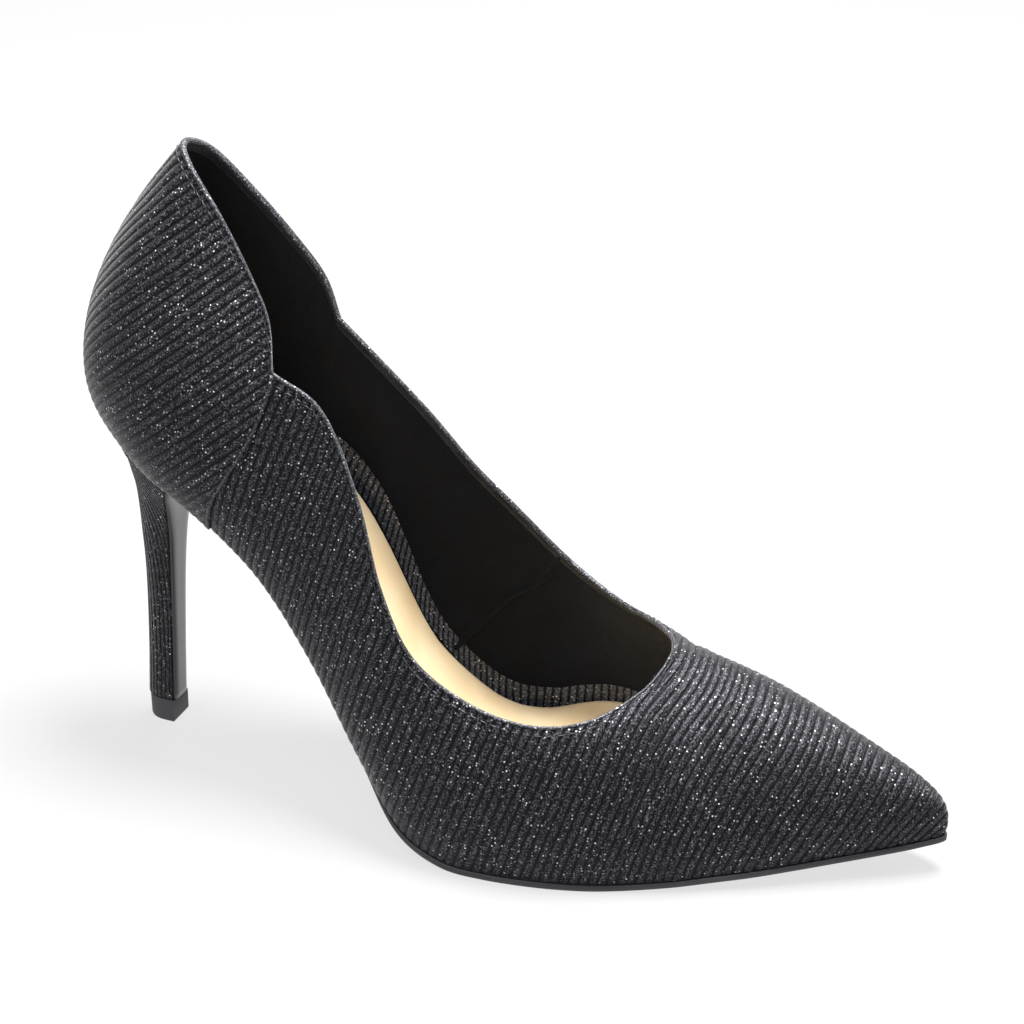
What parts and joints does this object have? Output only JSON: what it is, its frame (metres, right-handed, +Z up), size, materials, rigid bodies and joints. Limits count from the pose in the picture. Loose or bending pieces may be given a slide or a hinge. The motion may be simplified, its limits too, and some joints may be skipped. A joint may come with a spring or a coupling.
{
  "type": "stiletto pump",
  "caption": "Pointed low-cut pump for the right foot with a tall slim heel, raised counter panel and an open collar, standing empty on its heel tip and forefoot.",
  "frame": {"origin": "middle of the shoe's bounding box in plan, on the floor it stands on", "axes": "+X towards the toe, +Y to the inner (medial) side of the foot, +Z up"},
  "size_m": [0.2226, 0.0816, 0.1543],
  "materials": {
    "ribbed_metallic_fabric": "black ribbed knit with silver metallic thread",
    "heel_cover_fabric": "the same ribbed fabric, stretched over the heel",
    "sole_leather": "black, satin edge",
    "glossy_breast_leather": "black, glossy",
    "insole_leather": "beige, matte",
    "top_piece_rubber": "dark grey, matte"
  },
  "bodies": {
    "root": {"upper": "ribbed_metallic_fabric", "outsole": "sole_leather", "insole": "insole_leather", "heel": "heel_cover_fabric", "breast_cover": "glossy_breast_leather", "top_piece": "top_piece_rubber"}
  },
  "joints": []
}
